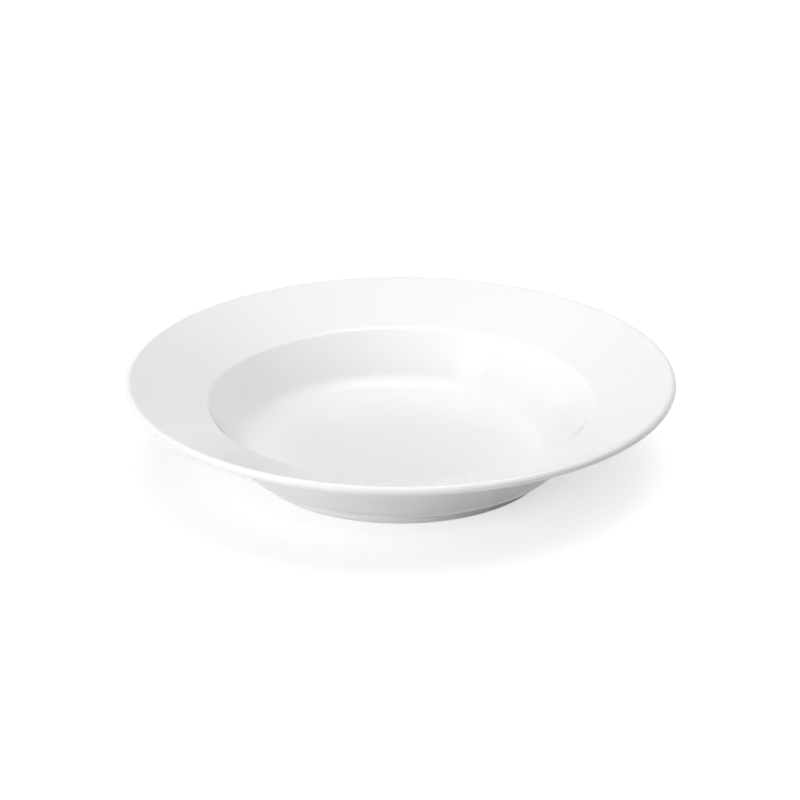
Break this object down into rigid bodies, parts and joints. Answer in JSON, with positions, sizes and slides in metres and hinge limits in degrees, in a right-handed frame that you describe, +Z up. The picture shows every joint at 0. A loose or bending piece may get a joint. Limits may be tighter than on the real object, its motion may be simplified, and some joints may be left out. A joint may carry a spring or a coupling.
{
  "type": "rimmed soup bowl",
  "caption": "Round white glazed porcelain soup bowl with a wide sloping rim, a deep flat-floored well and a low foot ring.",
  "frame": {"origin": "centre of the standing ring, on the surface that the bowl stands on", "axes": "+Z up, along the axis that the bowl is turned about; X and Y are alike"},
  "size_m": [0.23, 0.23, 0.04],
  "materials": {
    "bare_porcelain": "matte",
    "white_glaze": "polished"
  },
  "bodies": {
    "root": {"porcelain_body": "bare_porcelain", "main_glaze": "white_glaze", "base_glaze": "white_glaze"}
  },
  "joints": []
}
